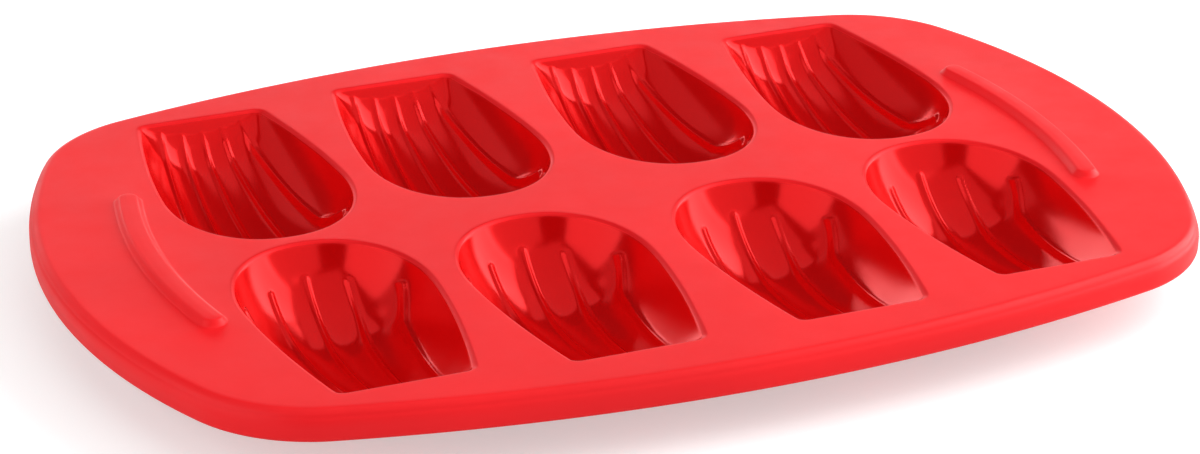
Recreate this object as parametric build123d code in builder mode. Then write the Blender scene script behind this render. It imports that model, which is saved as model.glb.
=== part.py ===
# Silicone madeleine pan: a flat deck carries two rows of fluted scallop cups, a thick rim runs
# round it with a flat steel ring moulded in, and a raised grip rib follows each end.
# Millimetres, +Z up, origin at the pan's centre on the table it stands on, long side along X.
import os
from math import asin, atan2, cos, degrees, hypot, radians, sin

from build123d import *

# Outline of the pan, set off from the cups, with how far its sides and ends bow out
side_margin = 16.0
end_margin = 37.8
side_bow = 16.8
end_bow = 24.5
corner_radius = 45.0

# Deck and rim
deck_thickness = 1.8
rim_width = 6.4
rim_height = 7.8
rim_top_round = 3.2
rim_foot_round = 1.4

# Flat steel ring moulded into the rim
ring_thickness = 1.4
ring_height = 3.6
ring_clearance = 0.1

# Cup cavity, measured inside from its round tip to its narrow end
cup_length = 78.6
cup_width = 47.0
cup_depth = 18.0
dome_length = 29.6
narrow_width = 32.8
narrow_depth = 6.8
end_wall_run = 2.4
end_wall_round = 2.4
side_power_share = 1.4
floor_power_share = 2.0
bowl_section_count = 4

# Cup wall at the sides and under the floor, its rounded mouth, and the flat that it stands on
cup_wall = 2.2
mouth_round = 0.8
floor_wall = 2.8
foot_cut = 0.8

# Flutes of the scallop, fanned about the cup's middle line and clear of its sides by a margin
flute_count = 4
flute_margin_narrow = 5.6
flute_margin_wide = 3.7
flute_depth_narrow = 0.5
flute_depth_wide = 1.2
flute_cover = 0.15
flute_overlap = 1.2
flute_body_count = 3
flute_dome_count = 3
flute_end_angle = 76.0

# Spaces between the mouths of the cups
column_gap_middle = 10.0
column_gap_outer = 7.7
row_gap_middle = 14.4
row_gap_outer = 5.0

# Grip ribs on the ends of the deck
grip_gap = 12.3
grip_length = 72.0
grip_bow = 4.0
grip_width = 6.0
grip_height = 1.6
grip_round = 1.3

overrun = 4.0

# Places and overall sizes that follow from these
column_middle = (column_gap_middle + cup_width) / 2
column_outer = column_middle + cup_width + column_gap_outer
pan_length = 2 * (column_outer + cup_width / 2 + end_margin)
pan_width = row_gap_middle + 2 * (cup_length + side_margin)
deck_level = cup_depth + floor_wall - foot_cut
wall_tilt = atan2(end_wall_run, narrow_depth)
flute_pitch_narrow = (narrow_width - 2 * flute_margin_narrow) / flute_count
flute_pitch_wide = (cup_width - 2 * flute_margin_wide) / flute_count

os.makedirs("parts", exist_ok=True)


def save(piece, name):
    """Label a finished piece and write its file."""
    piece.label = name
    export_step(piece, f"parts/{name}.step")


def outline(inset):
    """Barrel-shaped outline of the pan, drawn in by inset: four wide arcs with round corners."""
    side_radius = ((pan_length / 2 - end_bow) ** 2 + side_bow**2) / (2 * side_bow)
    end_radius = ((pan_width / 2 - side_bow) ** 2 + end_bow**2) / (2 * end_bow)
    with BuildSketch() as sketch:
        with Locations((0, pan_width / 2 - side_radius)):
            Circle(side_radius - inset)
        with Locations((0, side_radius - pan_width / 2)):
            Circle(side_radius - inset, mode=Mode.INTERSECT)
        for side in (-1, 1):
            with Locations((side * (pan_length / 2 - end_radius), 0)):
                Circle(end_radius - inset, mode=Mode.INTERSECT)
        fillet(sketch.vertices(), corner_radius - inset)
    return sketch.sketch


def bowl_size(along):
    """Half width and depth of the cavity between its widest place and its narrow end."""
    share = (along - dome_length) / (cup_length - dome_length)
    half_width = (cup_width - (cup_width - narrow_width) * share**side_power_share) / 2
    return half_width, cup_depth - (cup_depth - narrow_depth) * share**floor_power_share


def bowl(grow, drop):
    """Smooth cavity with its round tip at the origin, grown sideways by grow and down by drop."""
    with BuildPart() as dome:
        Sphere(1, rotation=(90, 0, 0))
        scale(by=(cup_width / 2 + grow, dome_length + grow, cup_depth + drop))
        split(bisect_by=Plane.XZ, keep=Keep.TOP)
        split(bisect_by=Plane.XY, keep=Keep.BOTTOM)
    sections = []
    for index in range(bowl_section_count):
        share = index / (bowl_section_count - 1)
        along = dome_length + (cup_length - dome_length) * share
        half_width, depth = bowl_size(along)
        station = along + grow / cos(wall_tilt) * share
        with BuildSketch(Plane.XZ.offset(-station)) as section:
            with BuildLine():
                EllipticalCenterArc((0, 0), half_width + grow, depth + drop, 180, arc_size=180)
                Line((half_width + grow, 0), (-half_width - grow, 0))
            make_face()
        sections.append(section.sketch)
    with BuildPart() as body:
        loft(sections=sections)
        add(dome.part.moved(Location((0, dome_length, 0))))
    return body.part


def flute_section(plane, half_width, depth, pitch, flute_depth, lift):
    """Row of flute arcs just under the bowl's elliptical section, closed by a chord."""

    def under(across, drop):
        turn = asin(across / half_width)
        normal_x = sin(turn) / half_width
        normal_y = -cos(turn) / depth
        length = hypot(normal_x, normal_y)
        x = half_width * sin(turn) + drop * normal_x / length
        return x, -depth * cos(turn) + drop * normal_y / length

    edge = pitch * flute_count / 2
    crest = flute_cover - lift
    with BuildSketch(plane) as section:
        with BuildLine():
            for index in range(flute_count):
                left = index * pitch - edge
                middle = under(left + pitch / 2, crest + flute_depth)
                ThreePointArc(under(left, crest), middle, under(left + pitch, crest))
            Line(under(edge, crest), under(-edge, crest))
        make_face()
    return section.sketch


def flutes():
    """Fan of flutes along the floor and up the round end, sharing the ribs between them."""
    body_length = cup_length - dome_length
    fan_length = body_length + dome_length * sin(radians(flute_end_angle))
    pitch_growth = (flute_pitch_wide - flute_pitch_narrow) / fan_length
    sections = []
    for index in range(flute_body_count):
        share = index / flute_body_count
        along = cup_length - body_length * share
        half_width, depth = bowl_size(along)
        pitch = flute_pitch_narrow + pitch_growth * body_length * share
        flute_depth = flute_depth_narrow + (flute_depth_wide - flute_depth_narrow) * share
        station = along if index > 0 else along + overrun
        plane = Plane(origin=(0, station, 0), x_dir=(1, 0, 0), z_dir=(0, -1, 0))
        sections.append(flute_section(plane, half_width, depth, pitch, flute_depth, 0))
    for index in range(flute_dome_count + 1):
        share = index / flute_dome_count
        turn = radians(flute_end_angle * share)
        depth = 1 / hypot(sin(turn) / dome_length, cos(turn) / cup_depth)
        pitch = flute_pitch_narrow + pitch_growth * (body_length + dome_length * sin(turn))
        lift = flute_overlap if index == flute_dome_count else 0
        flute_depth = flute_depth_narrow if index == flute_dome_count else flute_depth_wide
        plane = Plane(
            origin=(0, dome_length, 0), x_dir=(1, 0, 0), z_dir=(0, -cos(turn), sin(turn))
        )
        sections.append(flute_section(plane, cup_width / 2, depth, pitch, flute_depth, lift))
    with BuildPart() as fan:
        loft(sections=sections)
    return fan.part


def trimmed(body, grow):
    """Cut a cup body off along its sloped narrow end wall and level with the deck's top."""
    end_wall = Plane(origin=(0, cup_length, 0), x_dir=(1, 0, 0), z_dir=(0, 1, 0))
    end_wall = end_wall.rotated((-degrees(wall_tilt), 0, 0)).offset(grow)
    with BuildPart() as cut:
        add(body)
        split(bisect_by=end_wall, keep=Keep.BOTTOM)
        split(bisect_by=Plane.XY, keep=Keep.BOTTOM)
    return cut.part


def rounded_end(body, radius):
    """Round the edge where a trimmed bowl meets its sloped end wall."""
    with BuildPart() as rounded:
        add(body)
        wall_edges = rounded.faces().sort_by(Axis.Y)[-1].edges()
        fillet(wall_edges.sort_by(Axis.Z)[:-1], radius)
    return rounded.part


# One cup, made once and set down eight times
smooth_cavity = rounded_end(trimmed(bowl(0, 0), 0), end_wall_round)
cup_block = rounded_end(trimmed(bowl(cup_wall, floor_wall), cup_wall), end_wall_round + cup_wall)
flute_fan = trimmed(flutes(), 0)
with BuildPart() as cup_shell:
    add(cup_block)
    add(smooth_cavity, mode=Mode.SUBTRACT)
    fillet(cup_shell.faces().sort_by(Axis.Z)[-1].inner_wires()[0].edges(), mouth_round)
    add(flute_fan, mode=Mode.SUBTRACT)
    split(bisect_by=Plane.XY.offset(-deck_level), keep=Keep.TOP)

columns = []
for side in (-1, 1):
    columns.append((side * column_middle, row_gap_middle / 2))
    columns.append((side * column_outer, row_gap_outer / 2))
columns.sort()

places = {}
for number, (column_x, tip_y) in enumerate(columns, start=1):
    places[f"cup_back_{number}"] = Location((column_x, tip_y, deck_level))
    places[f"cup_front_{number}"] = Location((column_x, -tip_y, deck_level), (0, 0, 180))

for name, place in places.items():
    with BuildPart() as cup:
        with Locations(place):
            add(cup_shell.part)
    save(cup.part, name)

# Deck, holed by the outer faces of the cups
pan_outline = outline(0)
deck_outline = outline(rim_width)
deck_top = Plane.XY.offset(deck_level)
with BuildPart() as deck:
    with BuildSketch(deck_top):
        add(deck_outline)
    extrude(amount=-deck_thickness)
    with Locations(*places.values()):
        add(cup_block, mode=Mode.SUBTRACT)
save(deck.part, "deck")

# Steel ring, a strip on edge that follows the pan's outline through the middle of the rim
def ring_band(clearance):
    """Solid of the ring's strip, grown by clearance all round."""
    half = ring_thickness / 2 + clearance
    outer = outline(rim_width / 2 - half)
    inner = outline(rim_width / 2 + half)
    top = (ring_height - rim_height) / 2 + clearance
    with BuildPart() as band:
        with BuildSketch(deck_top.offset(top)):
            add(outer)
            add(inner, mode=Mode.SUBTRACT)
        extrude(amount=-ring_height - 2 * clearance)
    return band.part


save(ring_band(0), "rim_ring")

# Rim, a rounded bead cored for the ring
ring_core = ring_band(ring_clearance)
with BuildPart() as rim:
    with BuildSketch(deck_top):
        add(pan_outline)
        add(deck_outline, mode=Mode.SUBTRACT)
    extrude(amount=-rim_height)
    fillet(rim.faces().sort_by(Axis.Z)[-1].outer_wire().edges(), rim_top_round)
    fillet(rim.faces().sort_by(Axis.Z)[0].outer_wire().edges(), rim_foot_round)
    add(ring_core, mode=Mode.SUBTRACT)
save(rim.part, "rim")

# Grip ribs, one at each end of the deck
grip_reach = column_outer + cup_width / 2 + grip_gap
grip_end = grip_reach - grip_bow
with BuildLine() as grip_line:
    ThreePointArc((grip_end, -grip_length / 2), (grip_reach, 0), (grip_end, grip_length / 2))
with BuildSketch() as grip_profile:
    SlotArc(arc=grip_line.edges()[0], height=grip_width)
for name, turn in (("grip_right", 0), ("grip_left", 180)):
    with BuildPart() as grip:
        with BuildSketch(deck_top.rotated((0, 0, turn))):
            add(grip_profile.sketch)
        extrude(amount=grip_height)
        fillet(grip.faces().sort_by(Axis.Z)[-1].edges(), grip_round)
    save(grip.part, name)
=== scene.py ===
import math

import bmesh
import bpy
import numpy as np
from mathutils import Matrix, Vector
from mathutils.geometry import delaunay_2d_cdt


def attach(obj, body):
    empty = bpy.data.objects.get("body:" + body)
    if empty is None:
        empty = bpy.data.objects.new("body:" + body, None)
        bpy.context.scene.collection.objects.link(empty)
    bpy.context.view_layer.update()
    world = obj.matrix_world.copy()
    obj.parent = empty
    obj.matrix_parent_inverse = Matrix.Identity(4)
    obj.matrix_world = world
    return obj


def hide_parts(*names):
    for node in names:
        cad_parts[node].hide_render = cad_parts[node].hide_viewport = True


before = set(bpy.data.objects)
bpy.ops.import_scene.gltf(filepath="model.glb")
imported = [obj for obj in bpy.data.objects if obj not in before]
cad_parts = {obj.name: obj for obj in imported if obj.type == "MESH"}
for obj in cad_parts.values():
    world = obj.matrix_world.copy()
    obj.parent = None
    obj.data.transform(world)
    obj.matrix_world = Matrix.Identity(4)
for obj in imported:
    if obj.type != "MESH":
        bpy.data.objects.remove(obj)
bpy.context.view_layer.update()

# Sizes in millimetres, as in the CAD; the deck's top is 20 above the table
mm = 0.001
deck_level = 20.0
deck_thickness = 1.8
cup_length = 78.6
cup_width = 47.0
cup_depth = 18.0
dome_length = 29.6
narrow_width = 32.8
narrow_depth = 6.8
end_wall_run = 2.4
mouth_corner_round = 1.6
end_wall_round = 5.2
spine_low = 25.0
spine_high = 66.0
mouth_lift = 8.0
cup_wall = 2.2
floor_wall = 2.8
mouth_round = 0.9
flange = 2.4
outer_end_round = 4.6
foot_edge_round = 0.5
flute_pitch_narrow = 5.4
flute_pitch_growth = 0.0579
flute_depth_narrow = 0.32
flute_depth_gain = 0.5
flute_depth_run = 60
flute_fade_angles = (18, 48)
outer_flute_share = 0.45
rib_height = 0.6
rib_width = 0.6
rib_end_angles = (73.0, 69.0, 62.0)
rib_end_radius = 22
columns = {1: (-83.2, 2.5), 2: (-28.5, 7.2), 3: (28.5, 7.2), 4: (83.2, 2.5)}
pan_length = 289.0
pan_width = 203.6
side_bow = 16.8
end_bow = 24.5
corner_radius = 38.0
rim_width = 6.4
rim_height = 7.8
rim_roll_width = 3.0
rim_roll_height = 4.4
rim_foot_round = 1.4
rim_groove = 0.13
rim_groove_angle = 50
rim_groove_spread = 7
rim_back = 5.7
rim_back_round = 0.5
rim_under_round = 0.4
rim_under = 2.2
grip_reach = 119.0
grip_length = 72.0
grip_bow = 4.0
grip_height = 1.6
tip_power = 2.15
wall_slope = end_wall_run / narrow_depth
wall_cos = 1 / math.hypot(1, wall_slope)


# Shape of one cup, its round tip at the origin, +Y towards its narrow end, deck top at z 0
def smooth_step(value, low, high):
    t = np.clip((value - low) / (high - low), 0, 1)
    return t * t * (3 - 2 * t)


def bowl_distance(x, y, z, grow=0.0, drop=0.0):
    """About the distance outside the smooth bowl, grown sideways by grow and down by drop."""
    share = np.clip((y - dome_length) / (cup_length - dome_length), 0, 1.15)
    half = (cup_width - (cup_width - narrow_width) * share**1.6) / 2 + grow
    depth = cup_depth - (cup_depth - narrow_depth) * share**2 + drop
    tip = np.maximum(dome_length - y, 0) / (dome_length + grow)
    side = np.abs(x) / half
    n = tip_power
    ring = (side**n + tip**n + 1e-12) ** (1 / n)
    painted_cavity_shade = depth + mouth_lift
    taper = 1 - (mouth_lift / painted_cavity_shade) ** 2
    down = (z - mouth_lift) / painted_cavity_shade
    level = np.sqrt(taper * ring**2 + down**2)
    ring_x = ring ** (1 - n) * side ** (n - 1) / half
    ring_y = ring ** (1 - n) * tip ** (n - 1) / (dome_length + grow)
    across = taper * ring * np.hypot(ring_x, ring_y)
    slope = np.hypot(across, down / painted_cavity_shade) / level
    return (level - 1) / slope


def flutes(x, y, z, rib_share=1.0):
    """How far the flutes stand outside the smooth bowl, less the ribs that stand inside it."""
    tip = np.maximum(dome_length - y, 0)
    turn = np.arctan2(tip, np.maximum(-z, 1e-3))
    body = cup_length - dome_length
    along = np.where(tip > 0, body + dome_length * np.sin(turn), cup_length - y)
    pitch = flute_pitch_narrow + flute_pitch_growth * along
    number = x / pitch
    nearest = np.clip(np.round(number), -2, 2)
    off = np.abs(number - nearest)
    between = np.where(np.abs(number) < 2, 2 * off, 0)
    depth = flute_depth_narrow + flute_depth_gain * np.clip(along / flute_depth_run, 0, 1)
    fade = 1 - smooth_step(np.degrees(turn), *flute_fade_angles)
    flute = depth * (2 * between - between**2) * fade
    rank = np.abs(nearest)
    end_turn = np.select([rank == 0, rank == 1], rib_end_angles[:2], rib_end_angles[2])
    beyond = np.maximum(turn - np.radians(end_turn), 0) * rib_end_radius
    reach = np.hypot(off * pitch, beyond)
    rib = rib_height * np.exp(-((reach / rib_width) ** 2))
    return flute - rib * rib_share


def meet(a, b, radius):
    """Inside of both shapes, the edge between them rounded."""
    over = np.hypot(np.maximum(a + radius, 0), np.maximum(b + radius, 0))
    return np.minimum(-radius, np.maximum(a, b)) + over


def cavity(x, y, z):
    """Below 0 inside the cup's hollow."""
    bowl = bowl_distance(x, y, z) - flutes(x, y, z)
    wall = (y - cup_length - z * wall_slope) * wall_cos
    radius = mouth_corner_round + end_wall_round * smooth_step(-z, 0.5, 6.0)
    return meet(bowl, wall, radius)


def outside(x, y, z):
    """Below 0 inside the cup's outer face, down to its flat foot."""
    bowl = bowl_distance(x, y, z, cup_wall, floor_wall) - outer_flute_share * flutes(x, y, z, 0)
    wall = (y - cup_length - z * wall_slope) * wall_cos - cup_wall
    return meet(meet(bowl, wall, outer_end_round), -z - deck_level, foot_edge_round)


def cast(shape, start, ray):
    """Where rays from inside a shape first leave it."""
    near = np.zeros(len(start))
    far = np.full(len(start), 60.0)
    for _ in range(40):
        middle = (near + far) / 2
        p = start + ray * middle[:, None]
        within = shape(*p.T) < 0
        near = np.where(within, middle, near)
        far = np.where(within, far, middle)
    return start + ray * near[:, None]


def plan_normal(p):
    """Outward unit normals of the mouth's outline, in plan."""
    step = 0.05
    gx = cavity(p[:, 0] + step, p[:, 1], p[:, 2]) - cavity(p[:, 0] - step, p[:, 1], p[:, 2])
    gy = cavity(p[:, 0], p[:, 1] + step, p[:, 2]) - cavity(p[:, 0], p[:, 1] - step, p[:, 2])
    n = np.stack([gx, gy, np.zeros(len(p))], 1)
    return n / np.linalg.norm(n, axis=1)[:, None]


def mouth_outline(count, low, high):
    """Points evenly along the mouth's outline from the middle of its narrow end, and their spine points."""
    quarter = np.linspace(0, math.pi / 2, 400)
    side = np.linspace(high, low, 600)[1:-1]
    fan_out = np.stack([np.sin(quarter), np.cos(quarter)], 1)
    fan_in = np.stack([np.cos(quarter), -np.sin(quarter)], 1)
    start_y = np.concatenate([np.full(400, high), side, np.full(400, low)])
    ray = np.concatenate([fan_out, np.tile([1.0, 0.0], (len(side), 1)), fan_in])
    start = np.stack([np.zeros(len(start_y)), start_y, np.full(len(start_y), -1e-3)], 1)
    half = cast(cavity, start, np.column_stack([ray, np.zeros(len(ray))]))
    half[[0, -1], 0] = 0
    mirrored = half[-2:0:-1] * np.array([-1, 1, 1])
    whole = np.concatenate([half, mirrored, half[:1]])
    run = np.concatenate([[0], np.cumsum(np.linalg.norm(np.diff(whole, axis=0), axis=1))])
    at = np.linspace(0, run[-1], count, endpoint=False)
    points = np.stack([np.interp(at, run, whole[:, k]) for k in range(3)], 1)
    points[:, 2] = 0
    spine = np.zeros_like(points)
    spine[:, 1] = np.clip(points[:, 1], low, high)
    return points, spine


def rings_to_mesh(rings):
    """Quads between rings of equal length, as arrays of points and faces."""
    count = len(rings[0])
    points = np.concatenate(rings)
    k = np.arange(count)
    faces = []
    for row in range(len(rings) - 1):
        a = row * count
        b = a + count
        faces.append(np.stack([a + k, a + (k + 1) % count, b + (k + 1) % count, b + k], 1))
    return points, np.concatenate(faces)


def merged(points, faces):
    """Merge points at the same place and drop what collapses; also which faces are left."""
    _, first, where = np.unique(np.round(points, 4), axis=0, return_index=True, return_inverse=True)
    where = where.ravel()
    kept, left = [], []
    for index, face in enumerate(where[faces]):
        ring = [v for i, v in enumerate(face) if v != face[i - 1]]
        if len(ring) > 2:
            kept.append(ring)
            left.append(index)
    return points[first], kept, np.array(left)


def make_object(name, points, faces, sharp, polish_and_painted_shade=None):
    """An object of these faces, hard at edges between sharp points, with an optional mask of polish and
    painted shade.
    """
    mesh = bpy.data.meshes.new(name)
    mesh.from_pydata((points * mm).tolist(), [], [list(map(int, f)) for f in faces])
    mesh.update()
    mesh.polygons.foreach_set("use_smooth", np.ones(len(mesh.polygons), bool))
    flags = [bool(sharp[edge.vertices[0]] and sharp[edge.vertices[1]]) for edge in mesh.edges]
    attribute = mesh.attributes.new("sharp_edge", "BOOLEAN", "EDGE")
    attribute.data.foreach_set("value", flags)
    if polish_and_painted_shade is not None:
        attribute = mesh.attributes.new("polish_and_painted_shade", "FLOAT", "POINT")
        attribute.data.foreach_set("value", polish_and_painted_shade.astype(np.float32))
    thing = bpy.data.objects.new(name, mesh)
    bpy.context.scene.collection.objects.link(thing)
    return thing


def cup_mesh():
    """One cup's skin in its own frame: points, faces, its flange's edge and which faces are polished."""
    count = 336
    rows = 116
    mouth, spine = mouth_outline(count, spine_low, spine_high)
    out = plan_normal(mouth - np.array([0, 0, 0.5]))
    reach = mouth - spine
    length = np.linalg.norm(reach, axis=1)
    plan = reach / length[:, None]
    first = np.arctan2(length, mouth_round)
    wall_rows = []
    for row in range(rows + 1):
        angle = first * (1 - row / rows)
        ray = plan * np.sin(angle)[:, None] - np.array([0, 0, 1]) * np.cos(angle)[:, None]
        wall_rows.append(cast(cavity, spine - np.array([0, 0, 1e-4]), ray))
    top = mouth + out * mouth_round
    lip = []
    lip_steps = 7
    lip_pull = 0.72
    for step in range(1, lip_steps):
        t = step / lip_steps
        w = 2 * lip_pull * t * (1 - t)
        a = (1 - t) ** 2
        b = t**2
        lip.append((a * top + w * mouth + b * wall_rows[0]) / (a + w + b))
    edge = mouth + out * flange
    inner = [edge, (edge + top) / 2, top, *lip, *wall_rows]

    under_start = spine - np.array([0, 0, deck_thickness])
    under_rows = []
    under_count = 46
    for row in range(under_count + 1):
        angle = math.pi / 2 * (1 - row / under_count)
        ray = plan * math.sin(angle) - np.array([0, 0, 1]) * math.cos(angle)
        under_rows.append(cast(outside, under_start, ray))
    low_edge = edge - np.array([0, 0, deck_thickness])
    # The first row is drawn a thousandth of its way towards the flange's edge
    under_rows[0] = low_edge + (under_rows[0] - low_edge) * 0.999
    outer = [low_edge, *under_rows]

    inner_points, inner_faces = rings_to_mesh(inner)
    outer_points, outer_faces = rings_to_mesh(outer)
    k = np.arange(count)
    offset = len(inner_points)
    strip = np.stack([k, offset + k, offset + (k + 1) % count, (k + 1) % count], 1)
    points = np.concatenate([inner_points, outer_points])
    faces = np.concatenate([inner_faces[:, ::-1], outer_faces + offset, strip[:, ::-1]])
    points, faces, left = merged(points, faces)
    polished = (left >= 2 * count) & (left < len(inner_faces))
    return points, faces, edge, polished


def on_rings(points, *rings):
    """Which points lie on one of these rings."""
    keys = {tuple(p) for ring in rings for p in np.round(ring, 3)}
    return np.array([tuple(p) in keys for p in np.round(points, 3)])


# The pan without its cups
def pan_outline(spacing):
    """Four wide arcs with round corners, as points and outward normals."""
    side_radius = ((pan_length / 2 - end_bow) ** 2 + side_bow**2) / (2 * side_bow)
    end_radius = ((pan_width / 2 - side_bow) ** 2 + end_bow**2) / (2 * end_bow)
    side_centre = np.array([0, pan_width / 2 - side_radius])
    end_centre = np.array([pan_length / 2 - end_radius, 0])
    a = side_radius - corner_radius
    b = end_radius - corner_radius
    gap = end_centre - side_centre
    span = np.linalg.norm(gap)
    along = (a**2 - b**2 + span**2) / (2 * span)
    across = math.sqrt(a**2 - along**2)
    unit = gap / span
    corner = side_centre + along * unit + across * np.array([-unit[1], unit[0]])
    if corner[0] < 0:
        corner = side_centre + along * unit - across * np.array([-unit[1], unit[0]])
    to_side = (corner - side_centre) / a
    to_end = (corner - end_centre) / b
    side_angle = math.atan2(to_side[1], to_side[0])
    end_angle = math.atan2(to_end[1], to_end[0])
    parts = []
    for centre, radius, low, high in (
        (end_centre, end_radius, 0.0, end_angle),
        (corner, corner_radius, end_angle, side_angle),
        (side_centre, side_radius, side_angle, math.pi / 2),
    ):
        count = max(3, round(radius * (high - low) / spacing))
        angle = np.linspace(low, high, count, endpoint=False)
        normals = np.stack([np.cos(angle), np.sin(angle)], 1)
        parts.append(np.concatenate([centre + radius * normals, normals], 1))
    quarter = np.concatenate(parts)
    top = np.array([[0, pan_width / 2, 0, 1]])
    half = np.concatenate([quarter, top, (quarter * [-1, 1, -1, 1])[:0:-1]])
    left = np.array([[-pan_length / 2, 0, -1, 0]])
    return np.concatenate([half, left, (half * [1, -1, 1, -1])[:0:-1]])


def rim_profile():
    """Inset and height of the rim's section, from the flat deck round the bead to the deck's underside."""
    profile = [(6.6, 0.0), (5.0, 0.0), (3.6, 0.0)]
    for angle in np.linspace(4, 90, 22):
        a = math.radians(angle)
        groove = rim_groove * math.exp(-(((angle - rim_groove_angle) / rim_groove_spread) ** 2))
        inset = rim_roll_width * (1 - math.sin(a)) + groove * math.sin(a)
        profile.append((inset, rim_roll_height * (math.cos(a) - 1) - groove * math.cos(a)))
    profile += [(0.0, -5.5), (0.0, -6.4)]
    for angle in np.linspace(15, 90, 6):
        a = math.radians(angle)
        profile.append((rim_foot_round * (1 - math.cos(a)), -rim_height + rim_foot_round * (1 - math.sin(a))))
    profile += [(rim_back, -rim_height)]
    for angle in np.linspace(22.5, 90, 4):
        a = math.radians(angle)
        across = rim_back + rim_back_round * math.sin(a)
        profile.append((across, -rim_height + rim_back_round * (1 - math.cos(a))))
    inner = rim_back + rim_back_round
    profile += [(inner, -rim_under)]
    for angle in np.linspace(30, 90, 3):
        a = math.radians(angle)
        across = inner + rim_under_round * (1 - math.cos(a))
        profile.append((across, -rim_under + rim_under_round * math.sin(a)))
    return profile


def grip_rings(turned):
    """Rings of the raised grip rib, from its foot in to its crest line."""
    count_side = 60
    count_cap = 14
    radius = ((grip_length / 2) ** 2 + grip_bow**2) / (2 * grip_bow)
    centre = np.array([grip_reach - radius, 0.0])
    reach = math.asin(grip_length / 2 / radius)
    rings = []
    for off in (3.9, 3.7, 3.5, 3.3, 3.1, 2.9, 2.7, 2.5, 2.3, 2.1, 1.7, 1.2, 0.7, 0.0):
        high = grip_height * (1 - smooth_step(np.array(off), 2.0, 3.8)) * (1 - 0.03 * off)
        outer = np.linspace(-reach, reach, count_side)
        ring = [centre + (radius + off) * np.array([math.cos(a), math.sin(a)]) for a in outer]
        tip = centre + radius * np.array([math.cos(reach), math.sin(reach)])
        for a in np.linspace(reach, reach + math.pi, count_cap + 2)[1:-1]:
            ring.append(tip + off * np.array([math.cos(a), math.sin(a)]))
        for a in outer[::-1]:
            ring.append(centre + (radius - off) * np.array([math.cos(a), math.sin(a)]))
        tip = centre + radius * np.array([math.cos(reach), -math.sin(reach)])
        for a in np.linspace(math.pi - reach, 2 * math.pi - reach, count_cap + 2)[1:-1]:
            ring.append(tip + off * np.array([math.cos(a), math.sin(a)]))
        ring = np.array(ring) * (-1 if turned else 1)
        rings.append(np.column_stack([ring, np.full(len(ring), float(high))]))
    return rings


def flat_sheet(loops, height):
    """Triangles between an outer loop and the loops inside it, at one height."""
    points = np.concatenate([loop[:, :2] for loop in loops])
    owner = np.concatenate([np.full(len(loop), k) for k, loop in enumerate(loops)])
    edges = []
    start = 0
    for loop in loops:
        n = len(loop)
        edges += [(start + k, start + (k + 1) % n) for k in range(n)]
        start += n
    found = delaunay_2d_cdt([Vector(p) for p in points], edges, [], 1, 1e-6)
    source = np.array([ids[0] for ids in found[3]])
    flat = np.column_stack([points[source], np.full(len(source), height)])
    faces = []
    for face in found[2]:
        owners = {owner[source[v]] for v in face}
        if len(owners) == 1 and 0 not in owners:
            continue
        faces.append(list(face))
    return flat, faces


def placed(points, row, number):
    """Points of a cup's own frame set down at its place, in plan."""
    x, tip = columns[number]
    sign = 1 if row == "back" else -1
    return np.column_stack([x + sign * points[:, 0], sign * (tip + points[:, 1]), points[:, 2]])


def join(parts):
    """Several meshes as one, their shared points merged."""
    points, faces, start = [], [], 0
    for p, f in parts:
        points.append(p)
        faces += [[v + start for v in face] for face in f]
        start += len(p)
    points = np.concatenate(points)
    _, first, where = np.unique(np.round(points, 3), axis=0, return_index=True, return_inverse=True)
    where = where.ravel()
    kept = []
    for face in faces:
        ring = [where[v] for v in face]
        ring = [v for i, v in enumerate(ring) if v != ring[i - 1]]
        if len(ring) > 2:
            kept.append(ring)
    return points[first], kept


def pan_mesh(hole):
    """The moulding without its cups: deck, rim bead and grip ribs, holed round each cup."""
    line = pan_outline(1.3)
    rings = []
    for inset, height in rim_profile():
        rings.append(np.column_stack([line[:, :2] - inset * line[:, 2:], np.full(len(line), height)]))
    rim_points, rim_faces = rings_to_mesh(rings)
    holes = [placed(hole, row, n) for row in ("back", "front") for n in columns]
    grips = [grip_rings(turned) for turned in (False, True)]
    top = flat_sheet([rings[0], *holes, *(g[0] for g in grips)], 0.0)
    base = flat_sheet([rings[-1], *holes], -deck_thickness)
    parts = [(rim_points, rim_faces.tolist()), (top[0], top[1])]
    parts.append((base[0], [face[::-1] for face in base[1]]))
    for g in grips:
        points, faces = rings_to_mesh(g)
        parts.append((points, faces.tolist()))
    for ring in holes:
        low = ring - np.array([0, 0, deck_thickness])
        ring = ring.copy()
        ring[:, 2] = 0
        points, faces = rings_to_mesh([ring, low])
        parts.append((points, faces.tolist()))
    points, faces = join(parts)
    low_holes = [r - np.array([0, 0, deck_thickness]) for r in holes]
    return points, faces, on_rings(points, *holes, *low_holes)


def tidy_normals(thing):
    """Make every face look outwards."""
    work = bmesh.new()
    work.from_mesh(thing.data)
    bmesh.ops.recalc_face_normals(work, faces=work.faces)
    work.to_mesh(thing.data)
    work.free()


cup_points, cup_faces, mouth_edge, cup_polished = cup_mesh()
low_edge = mouth_edge - np.array([0, 0, deck_thickness])
# Mask of polish and painted shade: none at the deck top, full from 1.2 mm below it down into the cups
polish_and_painted_shade = 1 - smooth_step(cup_points[:, 2], -1.2, 0.0)
cup_first = make_object(
    "cup_skin", cup_points, cup_faces, on_rings(cup_points, mouth_edge, low_edge), polish_and_painted_shade
)
tidy_normals(cup_first)
cup_data = cup_first.data
bpy.data.objects.remove(cup_first)
for row in ("back", "front"):
    for number, (x, tip) in columns.items():
        cup = bpy.data.objects.new(f"cup_skin_{row}_{number}", cup_data)
        bpy.context.scene.collection.objects.link(cup)
        sign = 1 if row == "back" else -1
        cup.location = (x * mm, sign * tip * mm, deck_level * mm)
        cup.rotation_euler = (0, 0, 0 if row == "back" else math.pi)
        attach(cup, "root")
        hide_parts(f"cup_{row}_{number}")

pan_points, pan_faces, pan_sharp = pan_mesh(mouth_edge)
pan_points[:, 2] += deck_level
pan = make_object("pan_skin", pan_points, pan_faces, pan_sharp)
tidy_normals(pan)
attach(pan, "root")
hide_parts("deck", "rim", "grip_left", "grip_right")


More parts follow.
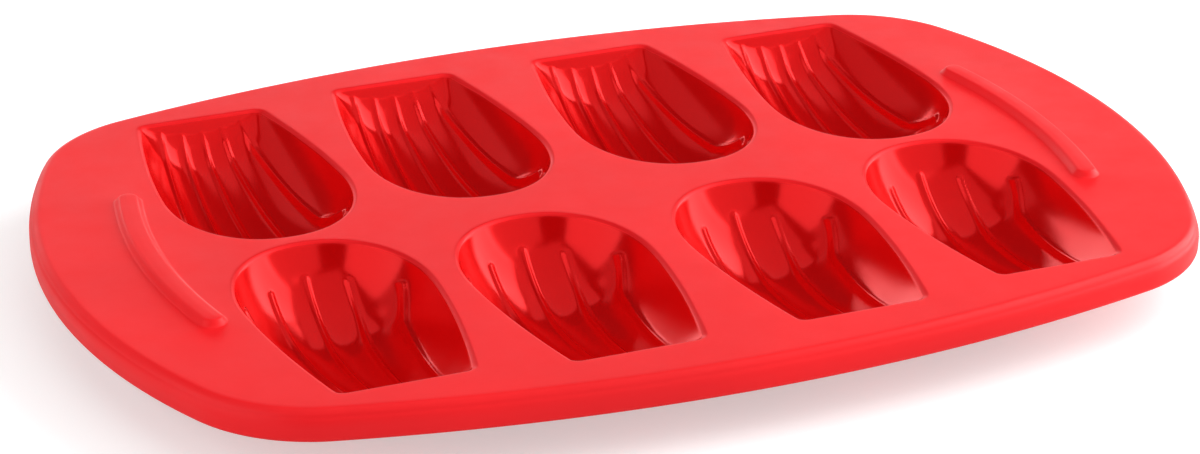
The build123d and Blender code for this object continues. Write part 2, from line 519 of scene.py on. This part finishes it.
# Materials
def silicone(name, with_polish_and_painted_shade):
    """Moulded silicone: a fine matt grain outside, and a polished face where the mould was polished, whose
    colour is also turned darker there as painted shade inside the cups.
    """
    colour = (0.92, 0.010, 0.014)
    material = bpy.data.materials.new(name)
    material.use_nodes = True
    nodes = material.node_tree.nodes
    links = material.node_tree.links
    shader = nodes["Principled BSDF"]
    shader.inputs["IOR"].default_value = 1.43
    shader.inputs["Specular Tint"].default_value = (1.0, 0.46, 0.48, 1.0)
    shader.inputs["Metallic"].default_value = 0.32 if with_polish_and_painted_shade else 0.0

    place = nodes.new("ShaderNodeNewGeometry")

    def noise(scale, detail, roughness):
        node = nodes.new("ShaderNodeTexNoise")
        node.inputs["Scale"].default_value = scale
        node.inputs["Detail"].default_value = detail
        node.inputs["Roughness"].default_value = roughness
        links.new(place.outputs["Position"], node.inputs["Vector"])
        return node.outputs["Fac"]

    def ranged(value, low, high, to_low, to_high):
        node = nodes.new("ShaderNodeMapRange")
        for key, number in (("From Min", low), ("From Max", high), ("To Min", to_low), ("To Max", to_high)):
            node.inputs[key].default_value = number
        links.new(value, node.inputs["Value"])
        return node.outputs["Result"]

    def blend(kind, factor, a, b):
        node = nodes.new("ShaderNodeMix")
        node.data_type = kind
        slots = {"FLOAT": (0, 2, 3), "RGBA": (0, 6, 7)}[kind]
        out = {"FLOAT": 0, "RGBA": 2}[kind]
        for slot, value in zip(slots, (factor, a, b)):
            if isinstance(value, (float, int, tuple)):
                node.inputs[slot].default_value = value
            else:
                links.new(value, node.inputs[slot])
        return node.outputs[out]

    broad = noise(16.0, 3.0, 0.5)
    cloudy = noise(90.0, 4.0, 0.55)
    grain = noise(2600.0, 2.0, 0.6)
    dark = tuple(c * 0.94 for c in colour) + (1.0,)
    light = tuple(c * 1.03 for c in colour) + (1.0,)
    tone = blend("RGBA", ranged(broad, 0.35, 0.65, 0.0, 1.0), dark, light)
    matt_rough = ranged(cloudy, 0.3, 0.7, 0.40, 0.50)
    gloss_rough = ranged(cloudy, 0.3, 0.7, 0.14, 0.19)
    if with_polish_and_painted_shade:
        mask = nodes.new("ShaderNodeAttribute")
        mask.attribute_name = "polish_and_painted_shade"
        # Painted shade: below the mouth the inside of the cups turns a darker, purer red, standing in for the
        # shade in the hollows; the same mask also gives the real polish its lower roughness
        painted_cavity_shade = (colour[0] * 0.80, colour[1] * 0.2, colour[2] * 0.2, 1.0)
        tone = blend("RGBA", mask.outputs["Fac"], tone, painted_cavity_shade)
        rough = blend("FLOAT", mask.outputs["Fac"], matt_rough, gloss_rough)
        strength = ranged(mask.outputs["Fac"], 0.0, 1.0, 0.25, 0.02)
    else:
        rough = matt_rough
        strength = None
    links.new(tone, shader.inputs["Base Color"])
    links.new(rough, shader.inputs["Roughness"])
    bump = nodes.new("ShaderNodeBump")
    bump.inputs["Distance"].default_value = 0.00004
    bump.inputs["Strength"].default_value = 0.25
    if strength is not None:
        links.new(strength, bump.inputs["Strength"])
    links.new(grain, bump.inputs["Height"])
    links.new(bump.outputs["Normal"], shader.inputs["Normal"])
    return material


satin = silicone("silicone_satin_red", False)
gloss = silicone("silicone_polished_red_painted_shade", True)
pan.data.materials.append(satin)
cup_data.materials.append(satin)
cup_data.materials.append(gloss)
cup_data.polygons.foreach_set("material_index", cup_polished.astype(np.int32))

steel = bpy.data.materials.new("ring_brushed_steel")
steel.use_nodes = True
steel_nodes = steel.node_tree.nodes
steel_links = steel.node_tree.links
steel_shader = steel_nodes["Principled BSDF"]
steel_shader.inputs["Metallic"].default_value = 1.0
steel_place = steel_nodes.new("ShaderNodeNewGeometry")
steel_stretch = steel_nodes.new("ShaderNodeMapping")
steel_stretch.inputs["Scale"].default_value = (40.0, 40.0, 4000.0)
steel_noise = steel_nodes.new("ShaderNodeTexNoise")
steel_noise.inputs["Scale"].default_value = 1.0
steel_range = steel_nodes.new("ShaderNodeMapRange")
steel_range.inputs["To Min"].default_value = 0.25
steel_range.inputs["To Max"].default_value = 0.42
steel_tone = steel_nodes.new("ShaderNodeValToRGB")
steel_tone.color_ramp.elements[0].color = (0.5, 0.5, 0.51, 1)
steel_tone.color_ramp.elements[1].color = (0.68, 0.68, 0.69, 1)
steel_links.new(steel_place.outputs["Position"], steel_stretch.inputs["Vector"])
steel_links.new(steel_stretch.outputs["Vector"], steel_noise.inputs["Vector"])
steel_links.new(steel_noise.outputs["Fac"], steel_range.inputs["Value"])
steel_links.new(steel_noise.outputs["Fac"], steel_tone.inputs["Fac"])
steel_links.new(steel_range.outputs["Result"], steel_shader.inputs["Roughness"])
steel_links.new(steel_tone.outputs["Color"], steel_shader.inputs["Base Color"])
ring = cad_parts["rim_ring"]
if ring.material_slots:
    ring.material_slots[0].material = steel
else:
    ring.data.materials.append(steel)


# Floor
floor_mesh = bpy.data.meshes.new("floor")
floor_half = 0.9
floor_corners = [(x * floor_half, y * floor_half, 0) for x, y in ((-1, -1), (1, -1), (1, 1), (-1, 1))]
floor_mesh.from_pydata(floor_corners, [], [(0, 1, 2, 3)])
floor = bpy.data.objects.new("floor", floor_mesh)
bpy.context.scene.collection.objects.link(floor)
floor_paint = bpy.data.materials.new("floor_white")
floor_paint.use_nodes = True
floor_shader = floor_paint.node_tree.nodes["Principled BSDF"]
floor_shader.inputs["Base Color"].default_value = (0.8, 0.8, 0.8, 1)
floor_shader.inputs["Roughness"].default_value = 1.0
floor_shader.inputs["Specular IOR Level"].default_value = 0.0
floor_shader.inputs["Emission Color"].default_value = (1, 1, 1, 1)
floor_path = floor_paint.node_tree.nodes.new("ShaderNodeLightPath")
floor_glow = floor_paint.node_tree.nodes.new("ShaderNodeMath")
floor_glow.operation = "MULTIPLY"
floor_glow.inputs[1].default_value = 0.45
floor_paint.node_tree.links.new(floor_path.outputs["Is Camera Ray"], floor_glow.inputs[0])
floor_paint.node_tree.links.new(floor_glow.outputs[0], floor_shader.inputs["Emission Strength"])
floor_mesh.materials.append(floor_paint)


# Lights: each soft box stands at an azimuth, 0 in front and 90 at the right, and a height angle
def soft_box(name, azimuth, elevation, distance, width, height, level, upright=False):
    """A lamp that faces the pan, or that stands upright and faces it level."""
    light = bpy.data.lights.new(name, "AREA")
    light.shape = "RECTANGLE"
    light.size = width
    light.size_y = height
    light.energy = level * width * height * math.pi
    lamp = bpy.data.objects.new(name, light)
    a, e = math.radians(azimuth), math.radians(elevation)
    away = Vector((math.sin(a) * math.cos(e), -math.cos(a) * math.cos(e), math.sin(e)))
    lamp.location = away * distance
    if upright:
        away.z = 0
    lamp.rotation_euler = away.to_track_quat("Z", "Y").to_euler()
    bpy.context.scene.collection.objects.link(lamp)


soft_box("light_right", 87, 38, 1.18, 1.06, 1.45, 4.0, True)
soft_box("light_front_right", 29, 35, 1.4, 1.72, 1.6, 1.0, True)
soft_box("light_left", 280, 31, 1.45, 1.6, 1.5, 1.7, True)
soft_box("light_back", 170, 9, 2.4, 3.0, 0.68, 2.15)
soft_box("light_behind", 228, 30, 1.3, 0.8, 0.6, 0.4)
soft_box("light_top", 0, 88, 1.4, 1.6, 1.9, 0.72)

world = bpy.data.worlds.new("studio")
bpy.context.scene.world = world
world.use_nodes = True
world_nodes = world.node_tree.nodes
world_links = world.node_tree.links
ambient = world_nodes["Background"]
ambient.inputs["Color"].default_value = (1, 1, 1, 1)
ambient.inputs["Strength"].default_value = 0.05
backdrop = world_nodes.new("ShaderNodeBackground")
backdrop.inputs["Color"].default_value = (1, 1, 1, 1)
backdrop.inputs["Strength"].default_value = 1.0
path = world_nodes.new("ShaderNodeLightPath")
mix = world_nodes.new("ShaderNodeMixShader")
world_links.new(path.outputs["Is Camera Ray"], mix.inputs[0])
world_links.new(ambient.outputs[0], mix.inputs[1])
world_links.new(backdrop.outputs[0], mix.inputs[2])
world_links.new(mix.outputs[0], world_nodes["World Output"].inputs["Surface"])

# Camera at the photograph's place and angle
azimuth, elevation, roll = math.radians(22.446), math.radians(24.72), math.radians(0.309)
target = Vector((-0.0117, -0.0208, deck_level * mm))
ahead = Vector((
    math.sin(azimuth) * math.cos(elevation),
    math.cos(azimuth) * math.cos(elevation),
    -math.sin(elevation),
))
across = Vector((math.cos(azimuth), -math.sin(azimuth), 0))
above = across.cross(ahead)
right = math.cos(roll) * across + math.sin(roll) * above
up = math.cos(roll) * above - math.sin(roll) * across
camera_data = bpy.data.cameras.new("camera")
camera_data.sensor_width = 36.0
camera_data.lens = 3629.3 / 1200 * 36
camera_data.clip_start = 0.01
camera_data.clip_end = 50
camera = bpy.data.objects.new("camera", camera_data)
turn = Matrix((right, up, -ahead)).transposed()
camera_distance = 0.8892
camera.matrix_world = Matrix.Translation(target - ahead * camera_distance) @ turn.to_4x4()
bpy.context.scene.collection.objects.link(camera)
bpy.context.scene.camera = camera

bpy.context.scene.view_settings.view_transform = "Standard"
